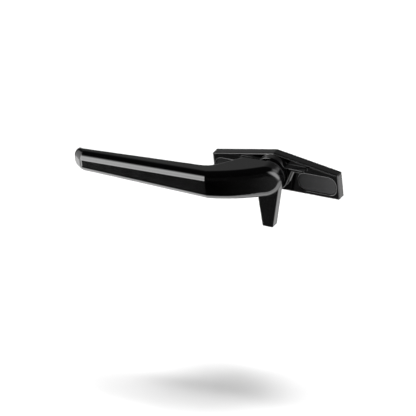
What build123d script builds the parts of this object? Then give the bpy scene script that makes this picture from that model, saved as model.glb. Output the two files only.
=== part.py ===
from build123d import *
import os
from math import cos, radians, sin, tan

# Window fastener: a turning lever with a wedge tongue, on a base that is screwed to the sash.
# Millimetres. X runs along the base, Y points into the sash and Z is up. The origin lies on the
# spindle's axis, on the sash face. A height is a distance from the sash face towards the user.

# Base plate, a low roof shape seen from the front
base_length = 81.2
base_depth = 5.2
base_drop = 11.8  # bottom edge below the spindle's axis
end_rise = 4.1  # top corner of each end above the axis
apex_rise = 11.3  # ridge of the roof above the axis
base_corner = 1.0
base_edge = 0.9

# Boss with two arms, braced by webs that leave the boss on a tangent
boss_radius = 10.4
boss_height = 4.2  # proud of the plate
boss_edge = 0.4
arm_reach = 21.5
arm_thickness = 2.0
arm_rise = 4.9  # middle of the arms above the axis
web_angle = 25.8  # lean of the webs from upright
web_foot = 0.5  # slanted foot of each web on the plate

# Snap-in caps over the fixing holes
cap_length = 24.0
cap_height = 11.0
cap_thickness = 1.4
cap_corner = 4.4
cap_edge = 0.3
cap_margin = 1.6  # from each cap to its end of the plate
cap_drop = 3.8  # middle of each cap below the axis
cap_gap = 0.15  # between a cap and its recess
cap_sunk = 0.3  # cap below the plate's front
peg_radius = 1.0
peg_length = 1.0
peg_reach = 8.0  # pegs from the middle of their cap
peg_gap = 0.1

# Fixing holes, for 4 mm countersunk screws
fixing_radius = 2.25
fixing_head_radius = 3.9

# Shallow reliefs cast in the sash face
relief_depth = 1.2
relief_rim = 2.0
relief_corner = 1.8
relief_land = 5.4  # radius of the land round each fixing hole
relief_rib = 2.4
relief_start = 13.5

# Bearing bush
bush_bore = 4.5
bush_wall = 1.0
bush_flange_radius = 8.6
bush_flange = 1.8
bush_gap = 0.05  # bush in the base
running_gap = 0.05  # spindle in the bush
bush_recess = 0.2  # sleeve short of the counterbore's floor

# Counterbore behind the boss, and the stack in it
counterbore_radius = 7.5
counterbore_depth = 5.2
spring_height = 1.2
spring_thickness = 0.8
spring_land = 0.5
spring_gap = 0.4  # spring to the counterbore and to the spindle
washer_thickness = 1.4
washer_gap = 0.3
key_size = 6.0  # square on the spindle's end
key_gap = 0.1
key_short = 0.2  # square short of the washer's face, so that the screw clamps the washer
lug_reach = 1.5
lug_angle = 30.0
stop_gap = 1.5  # degrees left at each end of the turn
turn = 90.0  # degrees from closed to open

# Pivot screw
screw_radius = 2.0
screw_length = 9.0
screw_head_radius = 3.4
screw_head_height = 2.0
screw_head_edge = 0.5
socket_size = 2.5  # across the flats
socket_depth = 1.2
thread_gap = 0.05
thread_spare = 1.0  # tapped hole past the screw's end

# Lever seen from above
hub_radius = 9.4
neck_foot = 17.5  # where the neck's back leaves the hub's back face
neck_lean = 48.0  # lean of the neck's back from the sash
neck_hollow = 14.0  # radius behind the neck
crease_reach = 28.4
crease_height = 35.9
crease_turn = 14.0  # kink of the front at the crease
hub_end_depth = 3.4  # hub past its rounded end, in front of the bush
grip_depth = 10.6  # grip at the crease
grip_reach = 118.8
tip_height = 34.6
tip_depth = 7.0
tip_slant_length = 6.6  # slanted end of the grip, along the grip
tip_slant_depth = 4.6  # and across it
lip_thickness = 3.4
lip_depth = 3.2
lip_hollow = 2.0  # radius in front of the lip

# Lever seen from the front
tip_half = 6.3
tip_drop = 0.4  # middle of the grip's end below the axis
tip_corner = 5.2

# Edges of the lever
grip_round = 4.5
back_round = 1.4
hub_edge = 0.4
tongue_edge = 0.4

# Wedge tongue
tongue_depth = 4.9
tongue_drop = 31.3
tongue_tip_left = 5.3
tongue_tip_right = 1.6
tongue_left_lean = 3.2
tongue_root = 0.845  # right flank's start on the hub, as a part of the hub's radius
tongue_corner = 0.9

# Worked out from the sizes above
boss_front = base_depth + boss_height
hub_back = boss_front + bush_flange
recess_floor = base_depth - cap_sunk - cap_thickness
cap_reach = base_length / 2 - cap_margin - cap_length / 2  # middle of each cap from the axis
spindle_radius = bush_bore - running_gap
shoulder = counterbore_depth - spring_height
washer_back = shoulder - washer_thickness
key_end = washer_back + key_short
stop_radius = counterbore_radius + lug_reach
lug_start = turn / 2  # middle of the lug when the lever is closed, anticlockwise from +X

# Seen from above, with heights from the sash face as the second coordinate
plan = Plane(origin=(0, 0, 0), x_dir=(1, 0, 0), z_dir=(0, 0, -1))


def front_at(height):
    """The plane parallel to the sash face at a height, with its normal towards the user."""
    return Plane.XZ.offset(height)


def wedge(radius, start, size):
    """Corners of a wedge about the spindle's axis that a circle of the radius lies inside."""
    angles = [radians(start + size * step / 2) for step in range(3)]
    return [(0, 0)] + [(2 * radius * cos(angle), 2 * radius * sin(angle)) for angle in angles]


# Base plate
with BuildPart() as base_plate:
    with BuildSketch(front_at(0)) as base_outline:
        with BuildLine():
            Polyline(
                (-base_length / 2, -base_drop),
                (base_length / 2, -base_drop),
                (base_length / 2, end_rise),
                (0, apex_rise),
                (-base_length / 2, end_rise),
                close=True,
            )
        make_face()
        fillet(base_outline.vertices().sort_by(Axis.X)[:2], base_corner)
        fillet(base_outline.vertices().sort_by(Axis.X)[-2:], base_corner)
    extrude(amount=base_depth)
    fillet(base_plate.faces().sort_by(Axis.Y)[0].edges(), base_edge)

    # Boss, arms and webs, seated in the plate
    with BuildSketch(front_at(base_depth / 2)) as boss_outline:
        Circle(boss_radius)
        with Locations((0, arm_rise)):
            SlotOverall(2 * arm_reach, arm_thickness)
        tangent_x = boss_radius * cos(radians(web_angle))
        tangent_z = -boss_radius * sin(radians(web_angle))
        web_top_x = tangent_x + (arm_rise - tangent_z) * tan(radians(web_angle))
        with BuildLine():
            Polyline(
                (-web_top_x, arm_rise),
                (-tangent_x, tangent_z),
                (tangent_x, tangent_z),
                (web_top_x, arm_rise),
                close=True,
            )
        make_face()
    extrude(amount=boss_front - base_depth / 2)
    fillet(base_plate.faces().sort_by(Axis.Y)[0].edges(), boss_edge)

    # Slanted feet along the webs
    foot_x = web_foot * cos(radians(web_angle))
    foot_z = -web_foot * sin(radians(web_angle))
    for side in (-1, 1):
        with BuildSketch(front_at(base_depth)):
            with BuildLine():
                Polyline(
                    (0, tangent_z + foot_z),
                    (side * (tangent_x + foot_x), tangent_z + foot_z),
                    (side * (web_top_x + foot_x), arm_rise + foot_z),
                    (0, arm_rise + foot_z),
                    close=True,
                )
            make_face()
        extrude(amount=web_foot, taper=45)

    # Recesses for the caps, with the holes for their pegs
    with BuildSketch(front_at(recess_floor)):
        with Locations((-cap_reach, -cap_drop), (cap_reach, -cap_drop)):
            RectangleRounded(cap_length + 2 * cap_gap, cap_height + 2 * cap_gap, cap_corner + cap_gap)
    extrude(amount=base_depth - recess_floor, mode=Mode.SUBTRACT)
    with BuildSketch(front_at(recess_floor - peg_length - peg_gap)):
        with Locations((-cap_reach, -cap_drop), (cap_reach, -cap_drop)):
            with GridLocations(2 * peg_reach, 0, 2, 1):
                Circle(peg_radius + peg_gap)
    extrude(amount=peg_length + peg_gap, mode=Mode.SUBTRACT)

    # Fixing holes
    with Locations(front_at(recess_floor)):
        with Locations((-cap_reach, -cap_drop), (cap_reach, -cap_drop)):
            CounterSinkHole(fixing_radius, fixing_head_radius, depth=recess_floor)

    # Reliefs in the sash face, each side of a land round the fixing hole
    relief_end = base_length / 2 - relief_rim
    relief_top = end_rise - relief_rim
    relief_bottom = relief_rim - base_drop
    relief_middle = (relief_start + relief_end) / 2
    for side in (-1, 1):
        with BuildSketch(front_at(0)):
            with Locations((side * relief_middle, (relief_top + relief_bottom) / 2)):
                RectangleRounded(relief_end - relief_start, relief_top - relief_bottom, relief_corner)
            with Locations((side * cap_reach, -cap_drop)):
                Circle(relief_land, mode=Mode.SUBTRACT)
                Rectangle(relief_rib, 2 * base_drop + 2 * apex_rise, mode=Mode.SUBTRACT)
        extrude(amount=relief_depth, mode=Mode.SUBTRACT)

    # Bore for the bush, counterbore for the stack, and the arc that the stop lug turns in
    with BuildSketch(front_at(0)):
        Circle(bush_bore + bush_wall + bush_gap)
    extrude(amount=boss_front, mode=Mode.SUBTRACT)
    with BuildSketch(front_at(0)):
        Circle(counterbore_radius)
    extrude(amount=counterbore_depth, mode=Mode.SUBTRACT)
    stop_start = lug_start + lug_angle / 2 + stop_gap
    stop_size = turn + lug_angle + 2 * stop_gap
    with BuildSketch(front_at(0)):
        Circle(stop_radius)
        Polygon(*wedge(stop_radius, stop_start, -stop_size), align=None, mode=Mode.INTERSECT)
    extrude(amount=shoulder + washer_gap, mode=Mode.SUBTRACT)


def behind_lever(face):
    """Is the face upright, behind the neck or the grip, or the inside or the end of the lip?"""
    normal = face.normal_at()
    centre = face.center()
    upright = abs(normal.Z) < 0.05
    clear_of_hub = centre.X < -neck_foot and centre.Y < -hub_back
    return upright and clear_of_hub and (normal.Y > 0.2 or normal.X > 0.7)


# Lever: the form seen from above, cut to the outline seen from the front
with BuildSketch(front_at(0)) as lever_outline:
    Circle(hub_radius)
    with Locations((tip_corner - grip_reach, -tip_drop)):
        with GridLocations(0, 2 * (tip_half - tip_corner), 1, 2):
            Circle(tip_corner)
    make_hull()

with BuildPart() as lever:
    past = 1.0  # the form seen from above runs past its outline at both ends
    hub_end = hub_radius + past
    grip_end = grip_reach + past
    slant = tip_slant_depth / tip_slant_length
    neck_top = crease_height - grip_depth
    neck_corner = (-neck_foot - (neck_top - hub_back) / tan(radians(neck_lean)), neck_top)
    tip_back = tip_height - tip_depth
    lip_corner = (lip_thickness - grip_reach, tip_back)
    with BuildSketch(plan) as lever_plan:
        with BuildLine() as lever_edge:
            neck = TangentArc(
                (-crease_reach, crease_height),
                (hub_end, hub_back + hub_end_depth),
                tangent=(cos(radians(crease_turn)), -sin(radians(crease_turn))),
            )
            Polyline(
                neck @ 1,
                (hub_end, hub_back),
                (-neck_foot, hub_back),
                neck_corner,
                lip_corner,
                (lip_thickness - grip_reach, tip_back - lip_depth),
                (-grip_end, tip_back - lip_depth),
                (-grip_end, tip_height - tip_slant_depth - past * slant),
                (tip_slant_length - grip_reach, tip_height),
                neck @ 0,
            )
        make_face()
        fillet(lever_plan.vertices().sort_by_distance(neck_corner)[0], neck_hollow)
        fillet(lever_plan.vertices().sort_by_distance(lip_corner)[0], lip_hollow)
    extrude(amount=2 * hub_radius, both=True)
    with BuildSketch(front_at(0)):
        add(lever_outline.sketch_local)
    extrude(amount=2 * crease_height, mode=Mode.INTERSECT)

    # Soft edges in front and round the tip, with the crease left crisp
    fronts = lever.faces().filter_by(lambda face: face.normal_at().Y < -0.5)
    rims = fronts.edges().filter_by(Axis.Z, reverse=True)
    creases = fronts.edges().filter_by(Axis.Z)
    fillet(rims + creases.filter_by(lambda edge: edge.center().X < -crease_reach - past), grip_round)

    # Smaller ones behind the neck and the grip, on to the end of the lip
    backs = lever.faces().filter_by(behind_lever)
    lip_end = backs.sort_by(Axis.X)[0]
    fillet(backs.edges().filter_by(Axis.Z, reverse=True) + lip_end.edges(), back_round)

    # Wedge tongue under the hub
    tongue_top = -hub_radius / 2
    tongue_length = tongue_drop + tongue_top
    left_top = -tongue_tip_left - tongue_length * tan(radians(tongue_left_lean))
    right_top = tongue_root * hub_radius
    with BuildSketch(front_at(hub_back)) as tongue_outline:
        with BuildLine():
            Polyline(
                (left_top, tongue_top),
                (-tongue_tip_left, -tongue_drop),
                (tongue_tip_right, -tongue_drop),
                (right_top, tongue_top),
                close=True,
            )
        make_face()
        fillet(tongue_outline.vertices().sort_by(Axis.Y)[:2], tongue_corner)
    extrude(amount=tongue_depth)
    tongue_front = lever.faces().filter_by(Axis.Y).sort_by(Axis.Z)[0]
    flanks = tongue_front.edges().filter_by(lambda edge: edge.center().Z < -hub_radius)
    fillet(flanks, tongue_edge)
    hub_rim = lever.faces().filter_by(Axis.Y).sort_by(Axis.Y)[-1].edges()
    fillet(hub_rim, hub_edge)

    # Spindle with its square end, tapped for the pivot screw
    with BuildSketch(front_at(shoulder)):
        Circle(spindle_radius)
    extrude(amount=hub_back + hub_edge - shoulder)
    with BuildSketch(front_at(key_end)):
        Rectangle(key_size, key_size)
    extrude(amount=shoulder - key_end)
    with BuildSketch(front_at(key_end)):
        Circle(screw_radius + thread_gap)
    extrude(amount=screw_length + thread_spare, mode=Mode.SUBTRACT)

# Bearing bush
with BuildPart() as bearing_bush:
    bush_back = counterbore_depth + bush_recess
    with BuildSketch(plan):
        with BuildLine():
            Polyline(
                (bush_bore, bush_back),
                (bush_bore + bush_wall, bush_back),
                (bush_bore + bush_wall, boss_front),
                (bush_flange_radius, boss_front),
                (bush_flange_radius, hub_back),
                (bush_bore, hub_back),
                close=True,
            )
        make_face()
    revolve(axis=Axis.Y)

# Disc spring, on the counterbore's floor at its outside and on the stop washer at its inside
with BuildPart() as disc_spring:
    spring_outer = counterbore_radius - spring_gap
    spring_inner = spindle_radius + spring_gap
    with BuildSketch(plan):
        with BuildLine():
            Polyline(
                (spring_outer, counterbore_depth),
                (spring_outer - spring_land, counterbore_depth),
                (spring_inner, shoulder + spring_thickness),
                (spring_inner, shoulder),
                (spring_inner + spring_land, shoulder),
                (spring_outer, counterbore_depth - spring_thickness),
                close=True,
            )
        make_face()
    revolve(axis=Axis.Y)

# Stop washer, keyed on the spindle's square, with its lug
with BuildPart() as stop_washer:
    with BuildSketch(front_at(washer_back)):
        Circle(stop_radius - washer_gap)
        Polygon(*wedge(stop_radius, lug_start + lug_angle / 2, -lug_angle), align=None, mode=Mode.INTERSECT)
        Circle(counterbore_radius - washer_gap)
        Rectangle(key_size + 2 * key_gap, key_size + 2 * key_gap, mode=Mode.SUBTRACT)
    extrude(amount=washer_thickness)

# Pivot screw, with a hexagon socket in its head
with BuildPart() as pivot_screw:
    head_back = washer_back - screw_head_height
    with BuildSketch(front_at(head_back)):
        Circle(screw_head_radius)
    extrude(amount=screw_head_height)
    chamfer(pivot_screw.faces().sort_by(Axis.Y)[-1].edges(), screw_head_edge)
    with BuildSketch(front_at(washer_back)):
        Circle(screw_radius)
    extrude(amount=screw_length + key_short)
    with BuildSketch(front_at(head_back)):
        RegularPolygon(socket_size / 2, 6, major_radius=False)
    extrude(amount=socket_depth, mode=Mode.SUBTRACT)

# Caps, with their pegs
caps = []
for label, side in (("left_cap", -1), ("right_cap", 1)):
    with BuildPart() as cap:
        with BuildSketch(front_at(recess_floor)):
            with Locations((side * cap_reach, -cap_drop)):
                RectangleRounded(cap_length, cap_height, cap_corner)
        extrude(amount=cap_thickness)
        chamfer(cap.faces().sort_by(Axis.Y)[0].edges(), cap_edge)
        with BuildSketch(front_at(recess_floor - peg_length)):
            with Locations((side * cap_reach, -cap_drop)):
                with GridLocations(2 * peg_reach, 0, 2, 1):
                    Circle(peg_radius)
        extrude(amount=peg_length)
    cap.part.label = label
    caps.append(cap.part)

base_plate.part.label = "base_plate"
lever.part.label = "lever"
bearing_bush.part.label = "bearing_bush"
disc_spring.part.label = "disc_spring"
stop_washer.part.label = "stop_washer"
pivot_screw.part.label = "pivot_screw"

os.makedirs("parts", exist_ok=True)
for piece in (
    base_plate.part,
    lever.part,
    bearing_bush.part,
    disc_spring.part,
    stop_washer.part,
    pivot_screw.part,
    *caps,
):
    export_step(piece, f"parts/{piece.label}.step")
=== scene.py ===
import math

import bpy
from mathutils import Matrix, Vector

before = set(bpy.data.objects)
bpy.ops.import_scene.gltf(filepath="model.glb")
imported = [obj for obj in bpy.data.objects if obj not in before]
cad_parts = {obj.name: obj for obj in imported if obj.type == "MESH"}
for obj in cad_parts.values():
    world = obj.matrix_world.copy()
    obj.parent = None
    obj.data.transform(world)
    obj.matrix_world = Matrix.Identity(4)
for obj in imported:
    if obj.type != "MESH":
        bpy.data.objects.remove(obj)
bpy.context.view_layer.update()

# Window fastener in gloss black enamel. Metres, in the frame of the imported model: X runs along the
# base, Y points into the sash and Z is up, with the origin on the spindle's axis at the sash face.

# Camera, in degrees and metres, with the lens and sensor in millimetres
VIEW_AZIMUTH = 31.2
VIEW_ELEVATION = 28.77
VIEW_ROLL = -5.66
VIEW_DISTANCE = 2.5
VIEW_NEAR = 0.05
VIEW_FAR = 20.0
AIM_RIGHT = -0.0405  # middle of the picture from the origin, across the view
AIM_UP = -0.02366
SENSOR = 36.0
LENS = 380.1

# Table
TABLE_HEIGHT = -0.127
TABLE_RADIUS = 0.56
TABLE_CORNERS = 192

# Lamps: place, the point each one faces, length and width, and energy
KEY_PLACE = (0.46, 0.78, 3.0)
KEY_TARGET = (0.46, 0.78, 0.0)
KEY_SIZE = (1.9, 1.0)  # longer along the lever, so that its shadow is one soft oval
KEY_ENERGY = 158.0
FILL_PLACE = (-0.13, -0.066, -0.05)  # over the grip's shadow, which it thins out
FILL_TARGET = (-0.13, -0.066, -1.0)
FILL_SIZE = (0.09, 0.05)
FILL_ENERGY = 0.0225
END_PLACE = (0.062, -0.018, -0.002)  # beside the base's right end
END_TARGET = (0.03, -0.005, -0.004)
END_SIZE = (0.02, 0.02)
END_ENERGY = 0.033

# Radiance of the surroundings that the gloss reflects
ROOM = 0.006
LEFT_BOX = 8.8
TIP_BOX = 1.45
RIGHT_BOX = 6.0
BACK_RIGHT_BOX = 2.0
TABLE_FRONT = 3.0
TABLE_BACK = 0.6
TABLE_BACK_RIGHT = 0.8
BACKDROP = 0.7
BACK_PANEL = 0.28
FRONT_GLOW = 0.05
LOW_GLOW = 0.12
HUB_GLOW = 0.42
WHITE = (1.0, 1.0, 1.0, 1.0)

# Limits of the left box and of the bright table, in degrees
FADE_START = -46.0  # azimuth past which the left box dims
FADE_LENGTH = 12.0
LEFT_BOX_TOP = 44.0
LEFT_BOX_BOTTOM = -36.0
HORIZON = -58.0  # elevation of the table's edge in front
HORIZON_BLUR = 3.0

# Tones of the finishes, as linear colours
ENAMEL_DARK = (0.0009, 0.0009, 0.001)
ENAMEL_LIGHT = (0.0018, 0.0018, 0.0019)
PLASTIC_DARK = (0.017, 0.017, 0.0175)
PLASTIC_LIGHT = (0.023, 0.023, 0.0235)
NYLON_DARK = (0.011, 0.011, 0.0115)
NYLON_LIGHT = (0.019, 0.019, 0.02)
ZINC_DARK = (0.5, 0.5, 0.49)
ZINC_LIGHT = (0.66, 0.66, 0.64)
SPRING_DARK = (0.26, 0.25, 0.235)
SPRING_LIGHT = (0.38, 0.37, 0.35)
PAPER_DARK = (0.86, 0.86, 0.86)
PAPER_LIGHT = (0.88, 0.88, 0.88)

# Most of a noise lies between these
NOISE_LOW = 0.3
NOISE_HIGH = 0.7

# Radii over which the shading softens the edges
LEVER_EDGE = 0.0001
BASE_EDGE = 0.0005
BUSH_EDGE = 0.0003
EDGE_SAMPLES = 8

# Rims of the base, from glossy to dull along Y, and the roughness that they add
BACK_RIM = (-0.0016, -0.0001)
BACK_RIM_DULL = 0.24
FRONT_RIM = (-0.00519, -0.00512)  # from the plate's front to its rolled edge
FRONT_RIM_FOOT = (-0.0041, -0.0045)  # from the plate's side to its rolled edge
FRONT_RIM_DULL = 0.3


class Nodes:
    """A node tree under construction."""

    def __init__(self, tree):
        self.tree = tree

    def add(self, kind, **settings):
        """A new node with its settings."""
        node = self.tree.nodes.new(kind)
        for name, value in settings.items():
            setattr(node, name, value)
        return node

    def put(self, socket, value):
        """Gives a socket a number, a colour or another node's output."""
        if isinstance(value, bpy.types.NodeSocket):
            self.tree.links.new(value, socket)
        else:
            socket.default_value = value

    def math(self, operation, *values):
        """The result of a sum on sockets and numbers."""
        node = self.add("ShaderNodeMath", operation=operation)
        for socket, value in zip(node.inputs, values):
            self.put(socket, value)
        return node.outputs["Value"]

    def spread(self, value, start, end, low=0.0, high=1.0):
        """Low where the value is at start, high where it is at end, and a smooth step between."""
        node = self.add("ShaderNodeMapRange", interpolation_type="SMOOTHSTEP")
        names = ("Value", "From Min", "From Max", "To Min", "To Max")
        for name, number in zip(names, (value, start, end, low, high)):
            self.put(node.inputs[name], number)
        return node.outputs["Result"]


class Finish(Nodes):
    """A material whose tone, gloss and surface vary over a piece, in its own coordinates."""

    def __init__(self, name):
        self.material = bpy.data.materials.new(name)
        self.material.use_nodes = True
        super().__init__(self.material.node_tree)
        self.shader = self.tree.nodes["Principled BSDF"]
        self.place = self.add("ShaderNodeTexCoord").outputs["Object"]

    def noise(self, size, detail):
        """Soft blotches of about a size in metres."""
        node = self.add("ShaderNodeTexNoise")
        self.put(node.inputs["Vector"], self.place)
        self.put(node.inputs["Scale"], 1.0 / size)
        self.put(node.inputs["Detail"], detail)
        return node.outputs["Fac"]

    def drift(self, noise, low, high):
        """A number that drifts between low and high as a noise does."""
        return self.spread(noise, NOISE_LOW, NOISE_HIGH, low, high)

    def depth(self):
        """Place along Y, which is 0 at the sash face and falls towards the user."""
        split = self.add("ShaderNodeSeparateXYZ")
        self.put(split.inputs["Vector"], self.place)
        return split.outputs["Y"]

    def rings(self, pitch):
        """Turning marks about the spindle's axis, a pitch apart."""
        flat = self.add("ShaderNodeVectorMath", operation="MULTIPLY")
        self.put(flat.inputs[0], self.place)
        self.put(flat.inputs[1], (1.0, 0.0, 1.0))
        radius = self.add("ShaderNodeVectorMath", operation="LENGTH")
        self.put(radius.inputs[0], flat.outputs["Vector"])
        node = self.add("ShaderNodeTexNoise", noise_dimensions="1D")
        self.put(node.inputs["W"], radius.outputs["Value"])
        self.put(node.inputs["Scale"], 1.0 / pitch)
        return node.outputs["Fac"]

    def tone(self, share, dark, light):
        """Colour between a dark and a light tone."""
        mix = self.add("ShaderNodeMix", data_type="RGBA")
        self.put(mix.inputs["Factor"], share)
        self.put(mix.inputs["A"], (*dark, 1.0))
        self.put(mix.inputs["B"], (*light, 1.0))
        self.put(self.shader.inputs["Base Color"], mix.outputs["Result"])

    def gloss(self, roughness):
        """Roughness of the surface."""
        self.put(self.shader.inputs["Roughness"], roughness)

    def soften(self, radius):
        """Takes the sharpness off the edges, as paint does, over a radius in metres."""
        bevel = self.add("ShaderNodeBevel", samples=EDGE_SAMPLES)
        self.put(bevel.inputs["Radius"], radius)
        self.put(self.shader.inputs["Normal"], bevel.outputs["Normal"])

    def relief(self, height, depth):
        """Fine relief of a depth in metres, over the softened edges where there are any."""
        bump = self.add("ShaderNodeBump")
        self.put(bump.inputs["Height"], height)
        self.put(bump.inputs["Distance"], depth)
        normal = self.shader.inputs["Normal"]
        if normal.is_linked:
            self.put(bump.inputs["Normal"], normal.links[0].from_socket)
        self.put(normal, bump.outputs["Normal"])

    def clear_from_behind(self):
        """Lets the faces be seen through from their backs."""
        mix = self.add("ShaderNodeMixShader")
        self.put(mix.inputs["Fac"], self.add("ShaderNodeNewGeometry").outputs["Backfacing"])
        self.put(mix.inputs[1], self.shader.outputs["BSDF"])
        self.put(mix.inputs[2], self.add("ShaderNodeBsdfTransparent").outputs["BSDF"])
        self.put(self.tree.nodes["Material Output"].inputs["Surface"], mix.outputs["Shader"])


def gloss_enamel(name, edge_radius):
    """Sprayed black enamel: deep gloss with a trace of orange peel, duller at the base's rims."""
    finish = Finish(name)
    finish.tone(finish.noise(size=0.016, detail=3.0), ENAMEL_DARK, ENAMEL_LIGHT)
    shine = finish.drift(finish.noise(size=0.007, detail=3.0), low=0.06, high=0.08)
    depth = finish.depth()
    back_rim = finish.spread(depth, *BACK_RIM, high=BACK_RIM_DULL)
    front_rim = finish.spread(depth, *FRONT_RIM, high=FRONT_RIM_DULL)
    front_rim = finish.math("MULTIPLY", front_rim, finish.spread(depth, *FRONT_RIM_FOOT))
    finish.gloss(finish.math("ADD", shine, finish.math("ADD", back_rim, front_rim)))
    finish.soften(edge_radius)
    finish.relief(finish.noise(size=0.0016, detail=1.0), depth=1.4e-6)
    return finish.material


def satin_plastic(name):
    """Moulded black plastic with a fine even grain."""
    finish = Finish(name)
    finish.tone(finish.noise(size=0.004, detail=3.0), PLASTIC_DARK, PLASTIC_LIGHT)
    finish.gloss(finish.drift(finish.noise(size=0.0025, detail=2.0), low=0.4, high=0.47))
    finish.shader.inputs["Specular IOR Level"].default_value = 0.08
    finish.relief(finish.noise(size=0.00035, detail=2.0), depth=2.5e-6)
    return finish.material


def black_nylon(name):
    """Turned black nylon, slightly cloudy, with a low sheen."""
    finish = Finish(name)
    finish.tone(finish.noise(size=0.003, detail=3.0), NYLON_DARK, NYLON_LIGHT)
    finish.gloss(finish.drift(finish.noise(size=0.0012, detail=2.0), low=0.28, high=0.36))
    finish.soften(BUSH_EDGE)
    finish.relief(finish.rings(pitch=0.00025), depth=3.0e-6)
    return finish.material


def bright_steel(name, dark, light, smooth, dull):
    """Steel with turning marks and a cloudy surface, between two tones and two roughnesses."""
    finish = Finish(name)
    clouds = finish.noise(size=0.0018, detail=4.0)
    finish.tone(clouds, dark, light)
    finish.gloss(finish.drift(clouds, smooth, dull))
    finish.shader.inputs["Metallic"].default_value = 1.0
    finish.relief(finish.rings(pitch=0.00016), depth=2.0e-6)
    return finish.material


def pale_paper(name):
    """The table's matt white top, clear from below so that it hides nothing."""
    finish = Finish(name)
    finish.tone(finish.noise(size=0.05, detail=2.0), PAPER_DARK, PAPER_LIGHT)
    finish.gloss(0.9)
    finish.shader.inputs["Specular IOR Level"].default_value = 0.0
    finish.clear_from_behind()
    return finish.material


def dress():
    """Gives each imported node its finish."""
    lever_enamel = gloss_enamel("lever_enamel", LEVER_EDGE)
    base_enamel = gloss_enamel("base_enamel", BASE_EDGE)
    cap_plastic = satin_plastic("cap_plastic")
    zinc_plate = bright_steel("zinc_plate", ZINC_DARK, ZINC_LIGHT, smooth=0.22, dull=0.36)
    spring_steel = bright_steel("spring_steel", SPRING_DARK, SPRING_LIGHT, smooth=0.28, dull=0.42)
    finishes = {
        "lever": lever_enamel,
        "base_plate": base_enamel,
        "left_cap": cap_plastic,
        "right_cap": cap_plastic,
        "bearing_bush": black_nylon("bush_nylon"),
        "disc_spring": spring_steel,
        "stop_washer": zinc_plate,
        "pivot_screw": zinc_plate,
    }
    for node, material in finishes.items():
        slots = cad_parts[node].data.materials
        slots.clear()
        slots.append(material)


class Studio(Nodes):
    """What the gloss reflects, placed by azimuth, 0 in front, and elevation, in degrees."""

    def __init__(self):
        world = bpy.data.worlds.new("studio")
        bpy.context.scene.world = world
        world.use_nodes = True
        world.cycles_visibility.diffuse = False
        super().__init__(world.node_tree)
        self.tree.nodes.clear()
        split = self.add("ShaderNodeSeparateXYZ")
        self.put(split.inputs["Vector"], self.add("ShaderNodeTexCoord").outputs["Generated"])
        x, y, z = split.outputs
        ahead = self.math("MULTIPLY", y, -1.0)
        self.azimuth = self.math("DEGREES", self.math("ARCTAN2", x, ahead))
        self.elevation = self.math("DEGREES", self.math("ARCSINE", z))
        self.light = ROOM

    def line(self, slope, azimuth, elevation):
        """Elevation that follows the azimuth along a line of a slope, through a point."""
        along = self.math("ADD", self.azimuth, -azimuth)
        return self.math("ADD", self.math("MULTIPLY", along, slope), elevation)

    def beside(self, line, dark, bright):
        """Dark and bright ends of a side that follows a line, as distances from it."""
        return self.math("ADD", line, dark), self.math("ADD", line, bright)

    def box(self, radiance, left=None, right=None, top=None, bottom=None):
        """Adds a soft box, with the places where each of its sides is dark and is bright."""
        across = ((self.azimuth, left), (self.azimuth, right))
        upright = ((self.elevation, top), (self.elevation, bottom))
        for value, ends in across + upright:
            if ends:
                radiance = self.math("MULTIPLY", radiance, self.spread(value, *ends))
        self.light = self.math("ADD", self.light, radiance)

    def finish(self):
        """White to the camera, and the boxes to everything else."""
        output = self.add("ShaderNodeOutputWorld")
        room = self.add("ShaderNodeBackground")
        self.put(room.inputs["Color"], self.light)
        backdrop = self.add("ShaderNodeBackground")
        self.put(backdrop.inputs["Color"], WHITE)
        mix = self.add("ShaderNodeMixShader")
        self.put(mix.inputs["Fac"], self.add("ShaderNodeLightPath").outputs["Is Camera Ray"])
        self.put(mix.inputs[1], room.outputs["Background"])
        self.put(mix.inputs[2], backdrop.outputs["Background"])
        self.put(output.inputs["Surface"], mix.outputs["Shader"])


def add_left_boxes(studio):
    """The left box, for the bright band along the grip, and a dimmer one for the grip's tip."""
    fade = studio.math("ADD", studio.azimuth, -FADE_START)
    fade = studio.math("DIVIDE", fade, FADE_LENGTH)
    fade = studio.math("EXPONENT", studio.math("MINIMUM", fade, 0.0))
    top = studio.line(slope=-0.6, azimuth=-31.0, elevation=27.0)
    top = studio.math("MINIMUM", top, LEFT_BOX_TOP)
    bottom = studio.line(slope=0.5, azimuth=-31.0, elevation=-24.3)
    bottom = studio.math("MAXIMUM", bottom, LEFT_BOX_BOTTOM)
    studio.box(
        studio.math("MULTIPLY", fade, LEFT_BOX),
        left=(-125.0, -95.0),
        right=(-22.0, -34.0),
        top=studio.beside(top, dark=6.0, bright=-9.0),
        bottom=studio.beside(bottom, dark=-1.0, bright=1.0),
    )
    studio.box(
        TIP_BOX,
        left=(-114.0, -98.0),
        right=(-58.0, -74.0),
        top=(52.0, 34.0),
        bottom=(-32.0, -24.0),
    )


def add_right_boxes(studio):
    """A soft box at the right, for the hub's end, and a dimmer one behind it."""
    studio.box(
        RIGHT_BOX,
        left=(52.0, 72.0),
        right=(112.0, 86.0),
        top=(48.0, 20.0),
        bottom=(-30.0, -10.0),
    )
    studio.box(
        BACK_RIGHT_BOX,
        left=(90.0, 112.0),
        right=(160.0, 128.0),
        top=(52.0, 38.0),
        bottom=(12.0, 26.0),
    )


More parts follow.
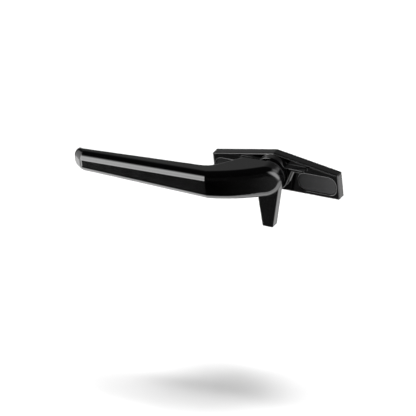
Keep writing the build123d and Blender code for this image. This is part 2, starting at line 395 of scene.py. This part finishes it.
def add_bright_table(studio):
    """The table's bright top, whose edge is lowest in front. It is dimmer at the back."""
    azimuth = studio.azimuth
    right_rise = studio.line(slope=0.78, azimuth=8.0, elevation=0.0)
    right_rise = studio.math("MAXIMUM", right_rise, 0.0)
    left_rise = studio.line(slope=-1.8, azimuth=-43.0, elevation=0.0)
    left_rise = studio.math("MAXIMUM", left_rise, 0.0)
    horizon = studio.math("ADD", studio.math("ADD", right_rise, left_rise), HORIZON)
    left_limit = studio.spread(azimuth, -62.0, -82.0, low=-34.0, high=-27.5)
    right_limit = studio.spread(azimuth, 40.0, 95.0, low=-34.0, high=-26.0)
    horizon = studio.math("MINIMUM", horizon, studio.math("MAXIMUM", left_limit, right_limit))
    front_left = studio.spread(azimuth, -142.0, -78.0)
    front_right = studio.spread(azimuth, 135.0, 92.0)
    front = studio.math("MULTIPLY", studio.math("MULTIPLY", front_left, front_right), TABLE_FRONT)
    back_right = studio.spread(azimuth, 100.0, 130.0, high=TABLE_BACK_RIGHT)
    studio.box(
        studio.math("ADD", studio.math("ADD", front, back_right), TABLE_BACK),
        top=studio.beside(horizon, dark=HORIZON_BLUR, bright=-HORIZON_BLUR),
    )


def add_backdrop(studio):
    """A pale backdrop behind, with a dim panel above it."""
    away = studio.math("ABSOLUTE", studio.azimuth)
    backdrop = studio.math("MULTIPLY", BACKDROP, studio.spread(away, 110.0, 140.0))
    studio.box(backdrop, top=(16.0, 4.0), bottom=(-30.0, -24.0))
    panel = studio.math("MULTIPLY", BACK_PANEL, studio.spread(away, 112.0, 142.0))
    studio.box(panel, top=(54.0, 28.0), bottom=(4.0, 16.0))


def add_glows(studio):
    """Faint glows: in front, below the left box, and low at the right for the neck and hub."""
    low = studio.math("MINIMUM", studio.line(slope=-0.3, azimuth=0.0, elevation=0.0), 0.0)
    studio.box(
        FRONT_GLOW,
        left=(-22.0, -12.0),
        right=(66.0, 52.0),
        top=(26.0, 16.0),
        bottom=studio.beside(low, dark=-27.0, bright=-22.0),
    )
    studio.box(
        LOW_GLOW,
        left=(-52.0, -42.0),
        right=(-18.0, -28.0),
        top=(-22.0, -26.0),
        bottom=(-42.0, -36.0),
    )
    studio.box(
        HUB_GLOW,
        left=(24.0, 68.0),
        right=(86.0, 70.0),
        top=(-18.0, -26.0),
        bottom=(-46.0, -38.0),
    )


def add_studio():
    """Soft boxes at the left and the right, a bright table below, a backdrop behind and glows."""
    studio = Studio()
    add_left_boxes(studio)
    add_right_boxes(studio)
    add_bright_table(studio)
    add_backdrop(studio)
    add_glows(studio)
    studio.finish()


def add_table():
    """A round pale table below the fastener. In reflections, the studio stands for it."""
    bpy.ops.mesh.primitive_circle_add(
        vertices=TABLE_CORNERS,
        radius=TABLE_RADIUS,
        fill_type="NGON",
        location=(0.0, 0.0, TABLE_HEIGHT),
    )
    table = bpy.context.object
    table.name = "table"
    table.data.materials.append(pale_paper("pale_paper"))
    table.visible_glossy = False


def add_lamp(name, place, target, size, energy):
    """A soft oval lamp that the camera and the reflections don't show."""
    data = bpy.data.lights.new(name, "AREA")
    data.shape = "ELLIPSE"
    data.size, data.size_y = size
    data.energy = energy
    lamp = bpy.data.objects.new(name, data)
    lamp.location = place
    aim = Vector(target) - Vector(place)
    lamp.rotation_euler = aim.to_track_quat("-Z", "Y").to_euler()
    lamp.visible_camera = False
    lamp.visible_glossy = False
    bpy.context.scene.collection.objects.link(lamp)


def view_axes(azimuth, elevation, roll):
    """Right, up and forward of a view from the front right, turned about its own line of sight."""
    turn = math.radians(azimuth)
    tilt = math.radians(elevation)
    level = math.cos(tilt)
    right = Vector((math.cos(turn), math.sin(turn), 0.0))
    forward = Vector((-math.sin(turn) * level, math.cos(turn) * level, -math.sin(tilt)))
    up = right.cross(forward)
    rolled = Matrix.Rotation(math.radians(roll), 3, -forward)
    return rolled @ right, rolled @ up, forward


def add_camera():
    """The camera at the photograph's angle."""
    right, up, forward = view_axes(VIEW_AZIMUTH, VIEW_ELEVATION, VIEW_ROLL)
    place = -VIEW_DISTANCE * forward
    aim = AIM_RIGHT * right + AIM_UP * up
    ahead = (aim - place).normalized()
    across = (right - right.dot(ahead) * ahead).normalized()
    above = across.cross(ahead)
    data = bpy.data.cameras.new("camera")
    data.lens = LENS
    data.sensor_width = SENSOR
    data.clip_start = VIEW_NEAR
    data.clip_end = VIEW_FAR
    camera = bpy.data.objects.new("camera", data)
    turned = Matrix((across, above, -ahead)).transposed().to_4x4()
    camera.matrix_world = Matrix.Translation(place) @ turned
    bpy.context.scene.collection.objects.link(camera)
    bpy.context.scene.camera = camera


dress()
add_studio()
add_table()
add_lamp("overhead_lamp", KEY_PLACE, KEY_TARGET, KEY_SIZE, KEY_ENERGY)
add_lamp("fill_lamp", FILL_PLACE, FILL_TARGET, FILL_SIZE, FILL_ENERGY)
add_lamp("end_lamp", END_PLACE, END_TARGET, END_SIZE, END_ENERGY)
add_camera()
bpy.context.scene.view_settings.view_transform = "Standard"
